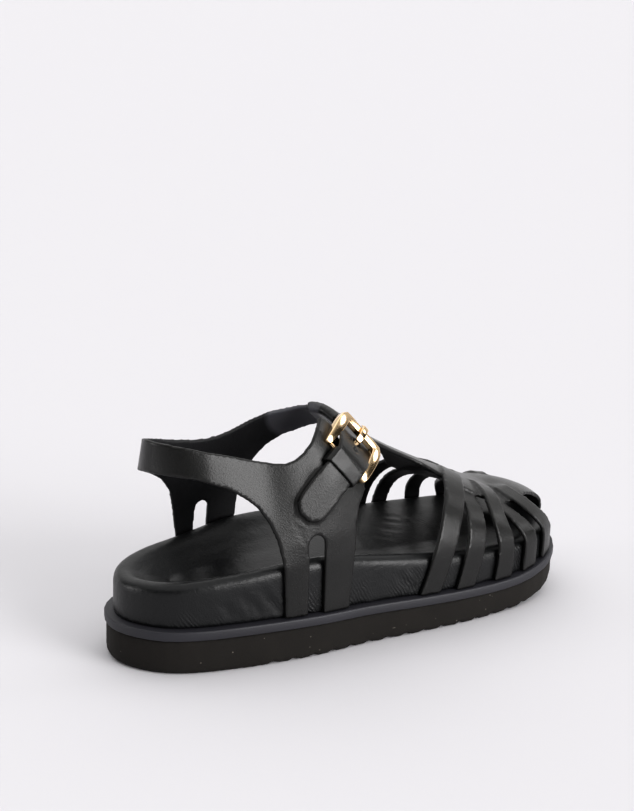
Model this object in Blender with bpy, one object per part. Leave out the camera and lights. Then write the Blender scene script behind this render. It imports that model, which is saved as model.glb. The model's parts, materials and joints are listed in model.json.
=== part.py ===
"""Fisherman sandal for a right foot: rippled sole, welt, wrapped footbed, woven upper and a buckled strap.

+Z is up and +X points at the toe, so the outer side of the foot faces -Y.
The origin is on the floor, under the middle of the sole.
"""

import math

import bmesh
import bpy
from mathutils import Vector

# Units
MM = 0.001

# Sizes of the sandal
LENGTH = 265 * MM
BALL_WIDTH = 98 * MM
ANKLE_HEIGHT = 113 * MM
LEATHER = 2.2 * MM
CLEARANCE = 0.3 * MM

# Sizes of the sole
WELT_HEIGHT = 4.6 * MM
WELT_PROUD = 1.0 * MM
WALL_INSET = 3.2 * MM
RIPPLE_PITCH = 11 * MM
RIPPLE_DEPTH = 1.3 * MM
RIPPLE_HEIGHT = 3.0 * MM
RIM_ROUND = 4.5 * MM

# Sizes of the strap and its buckle
STRAP_WIDTH = 18 * MM
TURN_BASE = 3.5 * MM
FRAME_WIDTH = 31 * MM
KEEPER_WIDTH = 6.6 * MM

# Where the heel and toe curves of the last are centred, as shares of the length
HEEL_CENTRE = 0.145 * LENGTH
TOE_CENTRE = 0.838 * LENGTH

# Outline of the sole: shares of the length, then of the ball width
OUTLINE = (
    # along, lateral, medial
    (0.015, 0.130, 0.170),
    (0.053, 0.258, 0.278),
    (0.121, 0.345, 0.350),
    (0.226, 0.410, 0.363),
    (0.340, 0.450, 0.366),
    (0.453, 0.455, 0.398),
    (0.566, 0.485, 0.456),
    (0.660, 0.501, 0.500),
    (0.755, 0.498, 0.506),
    (0.838, 0.479, 0.462),
    (0.909, 0.412, 0.382),
    (0.962, 0.285, 0.262),
)
HEEL_TIP = (0.0, 0.010)
TOE_TIP = (1.0, -0.015)

# Levels of the sole in millimetres, each measured from the one before it
LEVELS = (
    # along, toe spring, outsole, lateral rim, medial rim, cup
    (0.00, 0.0, 17.0, 20.5, 20.0, 7.0),
    (0.17, 0.0, 17.0, 23.8, 24.0, 9.0),
    (0.34, 0.0, 16.3, 27.3, 30.5, 12.0),
    (0.49, 0.0, 15.0, 22.9, 27.5, 8.5),
    (0.64, 0.0, 13.8, 19.2, 20.5, 5.0),
    (0.74, 0.0, 13.2, 17.4, 19.0, 4.0),
    (0.79, 0.5, 13.0, 16.9, 18.5, 4.0),
    (0.87, 3.0, 12.9, 15.6, 16.4, 4.0),
    (1.00, 9.6, 12.7, 12.6, 13.0, 3.5),
)
LEVEL_NAMES = ("toe spring", "outsole", "lateral rim", "medial rim", "cup")

# Sections of the last: the height of its ridge in millimetres, and how full the section is
LAST = (
    # along, ridge, rise power, width power
    (0.00, 156.0, 1.3, 1.0),
    (0.24, 156.0, 1.3, 1.0),
    (0.31, 138.0, 1.6, 1.5),
    (0.38, 122.0, 2.0, 2.0),
    (0.43, 111.5, 2.0, 2.0),
    (0.47, 104.0, 2.0, 2.0),
    (0.56, 89.0, 2.0, 2.0),
    (0.65, 77.0, 2.0, 2.0),
    (0.72, 68.6, 2.0, 2.0),
    (0.79, 60.4, 1.9, 1.9),
    (0.838, 55.8, 1.7, 1.7),
)
LAST_NAMES = ("ridge", "rise power", "width power")
HEEL_LEAN = 0.52
HEEL_CURVE = 0.20

# Heel band, quarters and the start of the ankle strap: loop share on the outer or inner side,
# then the heights of its top and bottom edges in millimetres, where a bottom of 0 stands on the welt
OUTER_QUARTER = (
    # around, top, bottom
    (0.000, 108.4, 92.8),
    (0.030, 108.0, 93.2),
    (0.055, 106.7, 92.5),
    (0.080, 104.7, 90.4),
    (0.100, 102.2, 86.4),
    (0.113, 100.1, 81.5),
    (0.122, 98.6, 76.9),
    (0.130, 97.4, 69.3),
    (0.1355, 96.8, 60.8),
    (0.1385, 96.4, 51.0),
    (0.1400, 96.2, 45.0),
    (0.1412, 96.0, 0.0),
    (0.150, 95.6, 0.0),
    (0.158, 96.9, 0.0),
    (0.166, 99.6, 0.0),
    (0.174, 103.6, 0.0),
    (0.182, 109.0, 0.0),
    (0.189, 113.0, 0.0),
    (0.1955, 111.5, 0.0),
    (0.2015, 107.5, 0.0),
    (0.2045, 103.0, 45.0),
    (0.2075, 99.0, 64.0),
    (0.2120, 95.5, 72.0),
    (0.2200, 90.5, 78.0),
)
INNER_QUARTER = (
    # around, top, bottom
    (0.000, 108.4, 92.8),
    (0.030, 105.9, 89.7),
    (0.055, 103.3, 85.6),
    (0.075, 101.4, 82.0),
    (0.090, 99.8, 78.0),
    (0.100, 98.6, 70.3),
    (0.1060, 98.0, 58.5),
    (0.1090, 97.7, 50.0),
    (0.1108, 97.5, 45.0),
    (0.1120, 97.4, 0.0),
    (0.125, 96.5, 0.0),
    (0.140, 96.6, 0.0),
    (0.155, 98.0, 0.0),
    (0.166, 100.0, 0.0),
    (0.1680, 100.4, 45.0),
    (0.1710, 101.0, 60.0),
    (0.1770, 102.1, 72.0),
    (0.1860, 103.8, 80.0),
    (0.1960, 105.6, 86.0),
    (0.2080, 107.6, 90.5),
)
SLOTS = (
    # along, side, width, top
    (0.326, -1, 9.0, 61.5),
    (0.252, 1, 8.0, 61.5),
)

# Ankle strap from the inner quarter over the instep to its tail, in shares of length, ball width and ankle height
# with its lift and width in millimetres
ANKLE_STRAP = (
    # along, across, up, lift, width
    (0.385, 0.285, 0.870, -0.70, 17.5),
    (0.422, 0.235, 0.890, -0.40, 17.8),
    (0.447, 0.150, 0.905, 0.00, 18.0),
    (0.461, 0.050, 0.910, 0.10, 18.5),
    (0.468, -0.050, 0.910, 0.10, 18.5),
    (0.467, -0.145, 0.900, 0.40, 18.5),
    (0.453, -0.226, 0.880, 1.40, 18.5),
    (0.437, -0.268, 0.865, 3.20, 18.5),
    (0.419, -0.298, 0.847, 5.00, 18.2),
    (0.400, -0.323, 0.823, 6.35, 18.0),
    (0.380, -0.343, 0.792, 4.35, 17.6),
    (0.360, -0.358, 0.754, 3.20, 17.5),
    (0.339, -0.370, 0.709, 2.60, 17.5),
    (0.317, -0.377, 0.660, 2.50, 16.5),
    (0.307, -0.379, 0.637, 2.50, 12.5),
    (0.302, -0.380, 0.626, 2.50, 6.5),
)
# Where the hinge bar of the buckle crosses under the strap, in the same shares
HINGE_PLACE = (0.400, -0.323, 0.823)

# Front panel with its T-bar: edges as shares of the ball width, the share of the toe wall that it runs down,
# and its lift in millimetres
PANEL = (
    # along, outer edge, inner edge, drop, lift
    (0.486, -0.115, 0.165, 0.0, -1.4),
    (0.510, -0.118, 0.168, 0.0, -0.7),
    (0.540, -0.120, 0.170, 0.0, 0.0),
    (0.580, -0.120, 0.170, 0.0, 0.0),
    (0.615, -0.120, 0.175, 0.0, 0.0),
    (0.645, -0.135, 0.200, 0.0, 0.0),
    (0.670, -0.185, 0.260, 0.0, 0.0),
    (0.695, -0.240, 0.315, 0.0, 0.0),
    (0.725, -0.275, 0.345, 0.0, 0.0),
    (0.760, -0.293, 0.350, 0.0, 0.0),
    (0.800, -0.293, 0.335, 0.0, 0.0),
    (0.838, -0.275, 0.305, 0.0, 0.0),
    (0.875, -0.235, 0.255, 0.0, 0.0),
    (0.910, -0.190, 0.200, 0.0, 0.0),
    (0.945, -0.150, 0.150, 0.0, 0.0),
    (0.968, -0.125, 0.120, 0.0, 0.0),
    (0.980, -0.115, 0.110, 0.0, 0.0),
    (0.986, -0.110, 0.105, 0.2, 0.0),
    (0.988, -0.105, 0.100, 0.5, 0.0),
    (0.988, -0.105, 0.100, 1.0, 0.0),
)

# Woven straps of the outer side, from the welt up to the panel
WOVEN = {
    "a": (
        # along, across, up, lift, width
        (0.583, -0.490, 0.193, 0.00, 14.0),
        (0.600, -0.490, 0.280, 0.00, 13.0),
        (0.615, -0.485, 0.372, 0.00, 12.6),
        (0.638, -0.445, 0.490, 0.30, 12.4),
        (0.663, -0.370, 0.560, 1.20, 12.6),
        (0.692, -0.260, 0.605, 1.60, 12.8),
        (0.722, -0.150, 0.625, 1.60, 12.0),
        (0.738, -0.100, 0.628, 1.20, 11.4),
        (0.752, -0.040, 0.624, -1.60, 11.0),
    ),
    "b": (
        (0.668, -0.497, 0.190, 0.00, 13.0),
        (0.682, -0.496, 0.275, 0.00, 12.3),
        (0.690, -0.494, 0.345, 0.00, 12.0),
        (0.702, -0.445, 0.450, 0.00, 12.0),
        (0.714, -0.380, 0.515, -0.60, 12.0),
        (0.724, -0.310, 0.555, -1.60, 12.0),
        (0.732, -0.240, 0.575, -1.60, 12.0),
        (0.738, -0.160, 0.590, -1.60, 12.0),
    ),
    "c": (
        (0.766, -0.490, 0.185, 0.00, 12.5),
        (0.772, -0.490, 0.280, 0.00, 11.6),
        (0.772, -0.483, 0.360, 0.00, 11.2),
        (0.770, -0.440, 0.430, 0.10, 11.0),
        (0.774, -0.375, 0.485, 0.80, 11.0),
        (0.783, -0.295, 0.520, 1.90, 11.0),
        (0.790, -0.220, 0.540, 1.60, 10.6),
        (0.796, -0.150, 0.550, 0.90, 10.2),
        (0.801, -0.090, 0.550, -1.60, 10.0),
    ),
    "d": (
        (0.843, -0.465, 0.200, 0.00, 11.5),
        (0.845, -0.465, 0.290, 0.00, 10.6),
        (0.842, -0.455, 0.345, 0.00, 10.4),
        (0.826, -0.405, 0.420, 0.00, 10.4),
        (0.815, -0.350, 0.465, -0.60, 10.4),
        (0.806, -0.285, 0.490, -1.60, 10.4),
        (0.800, -0.210, 0.505, -1.60, 10.4),
        (0.797, -0.140, 0.515, -1.60, 10.4),
    ),
    "e": (
        (0.913, -0.400, 0.225, 0.00, 13.5),
        (0.912, -0.395, 0.300, 0.00, 12.4),
        (0.903, -0.385, 0.370, 0.10, 11.6),
        (0.884, -0.345, 0.425, 0.70, 11.2),
        (0.868, -0.285, 0.460, 1.60, 11.0),
        (0.858, -0.225, 0.485, 1.60, 11.0),
        (0.853, -0.170, 0.500, 1.60, 10.6),
        (0.852, -0.120, 0.505, 0.20, 10.2),
        (0.852, -0.075, 0.505, -1.60, 10.0),
    ),
}
# The inner side carries the same weave in narrower straps, each set forward by a share of the length
INNER_WIDTH = 0.80
INNER_SHIFT = (
    # along, shift
    (0.60, 0.070),
    (0.68, 0.045),
    (0.78, 0.042),
    (0.85, 0.046),
    (0.92, 0.018),
)


# Short tables turned into smooth values
def column(table, index):
    return [row[0] for row in table], [row[index] for row in table]


def smooth(table, index, share):
    """A monotone curve through one column of a table."""
    along, values = column(table, index)
    if share <= along[0]:
        return values[0]
    if share >= along[-1]:
        return values[-1]
    last = len(along) - 1
    k = max(i for i in range(last) if along[i] <= share)

    def rise(i):
        return (values[i + 1] - values[i]) / (along[i + 1] - along[i])

    def slope(i):
        if i in (0, last):
            return rise(min(i, last - 1))
        before, after = rise(i - 1), rise(i)
        return 0.0 if before * after <= 0 else 2 * before * after / (before + after)

    step = along[k + 1] - along[k]
    t = (share - along[k]) / step
    return (
        (1 + 2 * t) * (1 - t) ** 2 * values[k]
        + t * (1 - t) ** 2 * step * slope(k)
        + t * t * (3 - 2 * t) * values[k + 1]
        + t * t * (t - 1) * step * slope(k + 1)
    )


def between(rows, share):
    """The row at a share of the way through a table, by a smooth curve through all of its columns."""
    place = share * (len(rows) - 1)
    k = min(int(place), len(rows) - 2)
    t = place - k
    near = [rows[min(max(k + i, 0), len(rows) - 1)] for i in (-1, 0, 1, 2)]
    return [
        b + t * ((c - a) / 2 + t * (a - 2.5 * b + 2 * c - d / 2 + t * (1.5 * (b - c) + (d - a) / 2)))
        for a, b, c, d in zip(*near)
    ]


# The outline of the sole
def outline_points():
    rows = [HEEL_TIP]
    rows += [(along, -lateral) for along, lateral, _ in OUTLINE]
    rows += [TOE_TIP]
    rows += [(along, medial) for along, _, medial in reversed(OUTLINE)]
    return [Vector((along * LENGTH, across * BALL_WIDTH)) for along, across in rows]


def spline_loop(points, steps=16):
    """A closed centripetal curve through the points."""
    loop = []
    for i in range(len(points)):
        p = [points[(i + k - 1) % len(points)] for k in range(4)]
        t = [0.0]
        for k in range(3):
            t.append(t[-1] + math.sqrt((p[k + 1] - p[k]).length))
        for j in range(steps):
            u = t[1] + (t[2] - t[1]) * j / steps
            a = [p[k].lerp(p[k + 1], (u - t[k]) / (t[k + 1] - t[k])) for k in range(3)]
            b = [a[k].lerp(a[k + 1], (u - t[k]) / (t[k + 2] - t[k])) for k in range(2)]
            loop.append(b[0].lerp(b[1], (u - t[1]) / (t[2] - t[1])))
    return loop


def offset_loop(loop, distance):
    """The loop moved outwards, by one distance or by one that changes along the sole."""
    moved = []
    for i, point in enumerate(loop):
        along = (loop[(i + 1) % len(loop)] - loop[i - 1]).normalized()
        step = distance(point.x) if callable(distance) else distance
        moved.append(point + step * Vector((along.y, -along.x)))
    return moved


def loop_place(loop, share):
    """The point at a share of the way round the loop."""
    steps = [(loop[(i + 1) % len(loop)] - p).length for i, p in enumerate(loop)]
    left = (share % 1.0) * sum(steps)
    for i, step in enumerate(steps):
        if left <= step:
            return loop[i].lerp(loop[(i + 1) % len(loop)], left / step)
        left -= step
    return loop[0]


SOLE_LOOP = spline_loop(outline_points())
SKIN_LOOP = offset_loop(SOLE_LOOP, CLEARANCE - WALL_INSET)


def half_width(loop, x, side):
    """How far the loop reaches to the outer side (-1) or to the inner side (1) at this distance along."""
    rows = sorted((p.x, abs(p.y)) for p in loop if p.y * side > 0)
    for (x0, y0), (x1, y1) in zip(rows, rows[1:]):
        if x0 <= x <= x1:
            return y0 + (y1 - y0) * (x - x0) / max(x1 - x0, 1e-9)
    return rows[0][1] if x < rows[0][0] else rows[-1][1]


def tabled(values, start, end, steps=240):
    """A function kept as an even table, so that it is worked out once."""
    kept = [values(start + (end - start) * i / steps) for i in range(steps + 1)]

    def look_up(x):
        place = min(max((x - start) / (end - start), 0.0), 1.0) * steps
        k = min(int(place), steps - 1)
        return kept[k] + (kept[k + 1] - kept[k]) * (place - k)

    return look_up


def reach(loop, centre_x):
    """How far the loop lies from a point on the middle line, by direction."""
    rows = sorted((math.atan2(p.y, p.x - centre_x), math.hypot(p.y, p.x - centre_x)) for p in loop)
    rows = [(rows[-1][0] - math.tau, rows[-1][1])] + rows + [(rows[0][0] + math.tau, rows[0][1])]

    def at(angle):
        for (a0, r0), (a1, r1) in zip(rows, rows[1:]):
            if a0 <= angle <= a1:
                return r0 + (r1 - r0) * (angle - a0) / max(a1 - a0, 1e-9)
        return rows[-1][1]

    return tabled(at, -math.pi, math.pi)




def half_table(loop):
    """Half widths of a loop along the sole, for the outer side and the inner side."""
    return {side: tabled(lambda x, side=side: half_width(loop, x, side), 0.0, LENGTH) for side in (-1, 1)}


SOLE_HALF = half_table(SOLE_LOOP)
SKIN_HALF = half_table(SKIN_LOOP)
HEEL_REACH = reach(SKIN_LOOP, HEEL_CENTRE)
TOE_REACH = reach(SKIN_LOOP, TOE_CENTRE)
LEVEL = {
    name: tabled(lambda x, index=index: smooth(LEVELS, index, x / LENGTH) * MM, 0.0, LENGTH)
    for index, name in enumerate(LEVEL_NAMES, 1)
}
SECTION = {
    name: tabled(lambda x, index=index: smooth(LAST, index, x / LENGTH), 0.0, LENGTH)
    for index, name in enumerate(LAST_NAMES, 1)
}


# Heights of the sole
def outsole_top(x):
    return LEVEL["toe spring"](x) + LEVEL["outsole"](x)


def welt_top(x):
    return outsole_top(x) + CLEARANCE + WELT_HEIGHT


def rim_top(x, y):
    """Height of the footbed's rim, eased from one side to the other round the heel and toe."""
    side = min(max(y / (16 * MM), -1.0), 1.0) / 2 + 0.5
    lateral = LEVEL["lateral rim"](x)
    return welt_top(x) + lateral + (LEVEL["medial rim"](x) - lateral) * side


# The last: its skin is the inner face of the upper
def section_at(x, y, z):
    """Rise above the rim as a share of the ridge, with the two powers of the section."""
    rim = rim_top(x, y)
    rise = (z - rim) / (SECTION["ridge"](x) * MM - rim)
    return max(rise, 0.0), SECTION["rise power"](x), SECTION["width power"](x)


def heel_pull(narrow):
    """How far the heel's back stays out behind its centre, where a section has this share of its width."""
    return 1 - HEEL_LEAN * max(1 - narrow, 0.0) ** HEEL_CURVE


def depth(point):
    """Below zero inside the last, zero on its skin, above zero outside."""
    x, y, z = point
    rise, rise_power, width_power = section_at(x, y, z)
    if x > TOE_CENTRE:
        width = math.hypot(x - TOE_CENTRE, y) / TOE_REACH(math.atan2(y, x - TOE_CENTRE))
    elif x < HEEL_CENTRE:
        narrow = max(1 - min(rise, 0.95) ** rise_power, 0.0) ** (1 / width_power)
        back = (x - HEEL_CENTRE) * narrow / heel_pull(narrow)
        width = math.hypot(back, y) / HEEL_REACH(math.atan2(y, back))
    else:
        width = abs(y) / SKIN_HALF[-1 if y < 0 else 1](x)
    total = width**width_power + rise**rise_power
    return total ** (2 / (rise_power + width_power)) - 1


def normal_at(point, step=0.15 * MM):
    """Outward slope of the depth at a point."""
    slope = []
    for axis in range(3):
        move = Vector([step if i == axis else 0.0 for i in range(3)])
        slope.append((depth(point + move) - depth(point - move)) / (2 * step))
    return Vector(slope)


def onto_skin(point, lift=0.0):
    """The nearest point on the last, raised off it, and the outward direction there."""
    place = Vector(point)
    for _ in range(6):
        slope = normal_at(place)
        move = slope * (depth(place) / slope.length_squared)
        if move.length > 6 * MM:
            move.length = 6 * MM
        place -= move
    outward = normal_at(place).normalized()
    return place + outward * lift, outward


def ring_point(around, side, height):
    """A point of the heel band or quarter: a loop share from the heel tip, a side and a height."""
    edge = loop_place(SKIN_LOOP, around if side < 0 else 1 - around)
    rise, rise_power, width_power = section_at(edge.x, edge.y, height)
    narrow = max(1 - rise**rise_power, 0.0) ** (1 / width_power)
    x = edge.x
    if x < HEEL_CENTRE:
        x = HEEL_CENTRE + (x - HEEL_CENTRE) * heel_pull(narrow)
    return Vector((x, edge.y * narrow, height))


def top_point(x, y, drop):
    """A point of the front panel: over the last, or a share of the way down its front wall."""
    rim = rim_top(x, y)
    if x > TOE_CENTRE:
        width = math.hypot(x - TOE_CENTRE, y) / TOE_REACH(math.atan2(y, x - TOE_CENTRE))
    else:
        width = abs(y) / SKIN_HALF[-1 if y < 0 else 1](x)
    if drop > 0:
        foot = Vector((TOE_CENTRE + (x - TOE_CENTRE) / width, y / width, rim))
        foot.z -= drop * (rim - welt_top(foot.x) - 1.5 * CLEARANCE)
        return foot
    ridge = SECTION["ridge"](x) * MM
    share = max(1 - min(width, 1.0) ** SECTION["width power"](x), 0.0) ** (1 / SECTION["rise power"](x))
    return Vector((x, y, rim + (ridge - rim) * share))


# Collections, materials and objects
def fresh_scene():
    for obj in list(bpy.data.objects):
        bpy.data.objects.remove(obj, do_unlink=True)
    for collection in list(bpy.data.collections):
        bpy.data.collections.remove(collection)
    parts = bpy.data.collections.new("fisherman_sandal")
    helpers = bpy.data.collections.new("cutters")
    helpers.hide_render = True
    for collection in (parts, helpers):
        bpy.context.scene.collection.children.link(collection)
    return parts, helpers


PARTS, HELPERS = fresh_scene()


def material(name, colour, roughness, metallic=0.0):
    made = bpy.data.materials.new(name)
    made.use_nodes = True
    shader = made.node_tree.nodes["Principled BSDF"]
    shader.inputs["Base Color"].default_value = (*colour, 1.0)
    shader.inputs["Roughness"].default_value = roughness
    shader.inputs["Metallic"].default_value = metallic
    return made


def solid(name, points, faces, finish=None, helper=False):
    """A closed mesh object, moved from the heel's frame to the middle of the sole."""
    mesh = bpy.data.meshes.new(name)
    mesh.from_pydata([(p[0] - LENGTH / 2, p[1], p[2]) for p in points], [], faces)
    shape = bmesh.new()
    shape.from_mesh(mesh)
    bmesh.ops.remove_doubles(shape, verts=shape.verts, dist=0.00001)
    bmesh.ops.recalc_face_normals(shape, faces=shape.faces)
    if shape.calc_volume(signed=True) < 0:
        bmesh.ops.reverse_faces(shape, faces=shape.faces)
    shape.to_mesh(mesh)
    shape.free()
    obj = bpy.data.objects.new(name, mesh)
    (HELPERS if helper else PARTS).objects.link(obj)
    if helper:
        obj.hide_render = True
        obj.display_type = "WIRE"
    if finish:
        mesh.materials.append(finish)
    return obj


def combine(obj, other, operation):
    step = obj.modifiers.new(f"{operation.lower()} {other.name}", "BOOLEAN")
    step.operation = operation
    step.solver = "EXACT"
    step.object = other


# Solids from rings round the sole, closed across the sole from side to side
def stations(ends, middle):
    """Distances along the sole, closer together round the heel and toe."""
    near = [share * share * HEEL_CENTRE for share in ends]
    far = [LENGTH - share * share * (LENGTH - TOE_CENTRE) for share in reversed(ends)]
    return near + [x for x in middle if near[-1] + MM < x < far[0] - MM] + far


def base_loop(places):
    """The outline with one point a side at each distance along the sole."""
    loop = [Vector((0.0, HEEL_TIP[1] * BALL_WIDTH))]
    loop += [Vector((x, -half_width(SOLE_LOOP, x, -1))) for x in places]
    loop += [Vector((LENGTH, TOE_TIP[1] * BALL_WIDTH))]
    loop += [Vector((x, half_width(SOLE_LOOP, x, 1))) for x in reversed(places)]
    return loop


def lofted(name, rings, finish):
    """Rings from the underside up, the first and last closed by strips that run across."""
    count = len(rings[0])
    half = count // 2
    points = [p for ring in rings for p in ring]
    faces = []
    for level in range(len(rings) - 1):
        low, high = level * count, (level + 1) * count
        for i in range(count):
            j = (i + 1) % count
            faces.append((low + i, low + j, high + j, high + i))
    for start in (0, (len(rings) - 1) * count):
        for i in range(half):
            j = count - i
            strip = [start + i, start + i + 1, start + (j - 1) % count, start + j % count]
            strip = list(dict.fromkeys(strip))
            if len(strip) > 2:
                faces.append(tuple(strip))
    return solid(name, points, faces, finish)


def ring_at(loop, inset, height):
    """The loop moved inwards and set at a height."""
    moved = offset_loop(loop, (lambda x: -inset(x)) if callable(inset) else -inset)
    return [Vector((q.x, q.y, height(p.x, p.y))) for p, q in zip(loop, moved)]


def shrunk_ring(loop, inset, share, height):
    """The loop moved inwards, then drawn in towards the middle line of the sole."""
    ring = []
    for p, moved in zip(loop, offset_loop(loop, -inset)):
        x = min(max(moved.x, HEEL_CENTRE), TOE_CENTRE)
        q = moved.lerp(Vector((x, (SOLE_HALF[1](x) - SOLE_HALF[-1](x)) / 2)), share)
        ring.append(Vector((q.x, q.y, height(p.x, p.y))))
    return ring


# Sheets of leather from a grid of skin points
def sheet(name, rows, thickness=LEATHER, finish=None, helper=True):
    """A closed wall from rows of (point, outward direction, lift)."""
    count, width = len(rows), len(rows[0])
    inner = [point + outward * lift for row in rows for point, outward, lift in row]
    outer = [point + outward * (lift + thickness) for row in rows for point, outward, lift in row]
    total = len(inner)
    faces = []
    for i in range(count - 1):
        for j in range(width - 1):
            a, b, c, d = i * width + j, i * width + j + 1, (i + 1) * width + j + 1, (i + 1) * width + j
            faces.append((a, b, c, d))
            faces.append((total + d, total + c, total + b, total + a))
    edge = [j for j in range(width)]
    edge += [i * width + width - 1 for i in range(1, count)]
    edge += [(count - 1) * width + j for j in range(width - 2, -1, -1)]
    edge += [i * width for i in range(count - 2, 0, -1)]
    for a, b in zip(edge, edge[1:] + edge[:1]):
        faces.append((a, total + a, total + b, b))
    return solid(name, inner + outer, faces, finish, helper)


class Track:
    """The middle line of a strap on the last, with directions along, across and outwards at each distance."""

    def __init__(self, table, steps=60):
        self.places = []
        gone = 0.0
        for i in range(steps + 1):
            along, across, up, lift, width = between(table, i / steps)
            point, outward = onto_skin((along * LENGTH, across * BALL_WIDTH, up * ANKLE_HEIGHT))
            if self.places:
                gone += (point - self.places[-1][1]).length
            self.places.append((gone, point, outward, lift * MM, width * MM))
        self.length = gone

    def nearest(self, along, across, up):
        """The distance at which the track comes closest to a place."""
        goal = Vector((along * LENGTH, across * BALL_WIDTH, up * ANKLE_HEIGHT))
        return min(self.places, key=lambda place: (place[1] - goal).length)[0]

    def mixed(self, distance):
        """Point, outward direction, lift and width at a distance."""
        distance = min(max(distance, 0.0), self.length)
        for near, far in zip(self.places, self.places[1:]):
            if distance <= far[0]:
                t = (distance - near[0]) / max(far[0] - near[0], 1e-9)
                return [a + (b - a) * t for a, b in zip(near[1:], far[1:])]
        return list(self.places[-1][1:])

    def at(self, distance):
        point, outward, lift, width = self.mixed(distance)
        ahead = self.mixed(distance + TURN_BASE)[0] - self.mixed(distance - TURN_BASE)[0]
        sideways = outward.cross(ahead).normalized()
        return point, sideways.cross(outward).normalized(), sideways, outward.normalized(), lift, width

    def point(self, distance, across, lift):
        """A point off the last, as far out as the skin under it plus a lift."""
        place, _, sideways, outward, _, _ = self.at(distance)
        return onto_skin(place + sideways * across)[0] + outward * lift

    def strap(self, distance, across, above):
        """A point off the strap's inner face."""
        return self.point(distance, across, self.at(distance)[4] + above)


def strap_rows(table, steps, across=(-1.0, 0.0, 1.0)):
    """Rows of skin points along a strap, each across its width."""
    track = Track(table)
    rows = []
    for i in range(steps + 1):
        distance = track.length * i / steps
        _, _, _, outward, lift, width = track.at(distance)
        rows.append([(track.point(distance, share * width / 2, 0.0), outward, lift) for share in across])
    return rows


def swept(name, rows, finish=None, helper=True):
    """A closed solid from a row of outlines, capped at both ends."""
    width = len(rows[0])
    points = [p for row in rows for p in row]
    faces = [tuple(range(width)), tuple(range((len(rows) - 1) * width, len(rows) * width))]
    for i in range(len(rows) - 1):
        for j in range(width):
            a, b = i * width + j, i * width + (j + 1) % width
            faces.append((a, b, b + width, a + width))
    return solid(name, points, faces, finish, helper)


# Materials
LEATHER_FINISH = material("black_leather", (0.012, 0.012, 0.014), 0.45)
FOOTBED_FINISH = material("black_leather_footbed", (0.016, 0.016, 0.017), 0.5)
WELT_FINISH = material("grey_rubber_welt", (0.04, 0.04, 0.047), 0.6)
SOLE_FINISH = material("black_rubber_sole", (0.017, 0.016, 0.016), 0.8)
BUCKLE_FINISH = material("polished_brass", (0.72, 0.48, 0.20), 0.18, 1.0)


# Outsole: flat heel, then cross ripples from the arch to the toe
END_STEPS = (0.10, 0.22, 0.34, 0.46, 0.58, 0.70, 0.82, 0.94)
RIPPLES_FROM = 0.20 * LENGTH
RIPPLES_TO = LENGTH - 5 * MM
NOTCH_SHARE = 0.22
EDGE_INSET = 0.3
EDGE_RISE = 0.4
EDGE_RIPPLE = 0.6


def ripple(x):
    """How far the underside is cut away at this distance along."""
    if not RIPPLES_FROM <= x <= RIPPLES_TO:
        return 0.0
    phase = (x - RIPPLES_FROM) / RIPPLE_PITCH % 1.0
    off = min(phase, 1 - phase) / NOTCH_SHARE
    return RIPPLE_DEPTH * max(1 - off, 0.0)


def ripple_stations():
    places = []
    count = int((RIPPLES_TO - RIPPLES_FROM) / RIPPLE_PITCH)
    for i in range(count + 1):
        notch = RIPPLES_FROM + i * RIPPLE_PITCH
        places += [notch - NOTCH_SHARE * RIPPLE_PITCH, notch, notch + NOTCH_SHARE * RIPPLE_PITCH]
    return [x for x in places if x < RIPPLES_TO]


def heel_round(x):
    """The lower edge is rounder at the heel than along the ripples."""
    share = min(max(x / RIPPLES_FROM, 0.0), 1.0)
    return RIPPLE_HEIGHT * (0.8 - 0.5 * share)


def edge_height(x, y):
    """Height of the middle of the rounded lower edge, where the ripples die out."""
    return LEVEL["toe spring"](x) + RIPPLE_HEIGHT * EDGE_RISE + ripple(x) * EDGE_RIPPLE


SOLE_RING = base_loop(stations(END_STEPS, [x for x in ripple_stations() if x > HEEL_CENTRE]))
lofted(
    "outsole",
    [
        ring_at(SOLE_RING, heel_round, lambda x, y: LEVEL["toe spring"](x) + ripple(x)),
        ring_at(SOLE_RING, lambda x: heel_round(x) * EDGE_INSET, edge_height),
        ring_at(SOLE_RING, 0.0, lambda x, y: LEVEL["toe spring"](x) + RIPPLE_HEIGHT),
        ring_at(SOLE_RING, 0.0, lambda x, y: outsole_top(x)),
    ],
    SOLE_FINISH,
)

# Midsole: a plate over the whole sole, its proud edge is the welt
PLATE_FROM = 0.19 * LENGTH
PLATE_STEP = 0.034 * LENGTH
PLATE_RING = base_loop(stations(END_STEPS, [PLATE_FROM + i * PLATE_STEP for i in range(20)]))
WELT_CHAMFER = 0.5 * MM
lofted(
    "midsole_welt",
    [
        ring_at(PLATE_RING, -WELT_PROUD, lambda x, y: outsole_top(x) + CLEARANCE),
        ring_at(PLATE_RING, -WELT_PROUD, lambda x, y: welt_top(x) - WELT_CHAMFER),
        ring_at(PLATE_RING, WELT_CHAMFER - WELT_PROUD, lambda x, y: welt_top(x)),
    ],
    WELT_FINISH,
)

# Footbed: wrapped wall, rounded rim and a cup for the heel and arch
CUP_SLOPE = (
    # inset past the rim in mm, drawn in, share of the cup
    (3.0, 0.00, 0.10),
    (8.0, 0.00, 0.42),
    (11.0, 0.25, 0.78),
    (12.0, 0.58, 1.00),
)
RIM_ANGLES = (0, 25, 50, 75, 95)


def rim_ring(angle):
    turn = math.radians(angle)
    inset = WALL_INSET + RIM_ROUND * (1 - math.cos(turn))
    return ring_at(PLATE_RING, inset, lambda x, y: rim_top(x, y) - RIM_ROUND * (1 - math.sin(turn)))


def cup_ring(past, drawn, share):
    inset = WALL_INSET + RIM_ROUND + past * MM
    return shrunk_ring(PLATE_RING, inset, drawn, lambda x, y: rim_top(x, y) - share * LEVEL["cup"](x))


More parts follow.
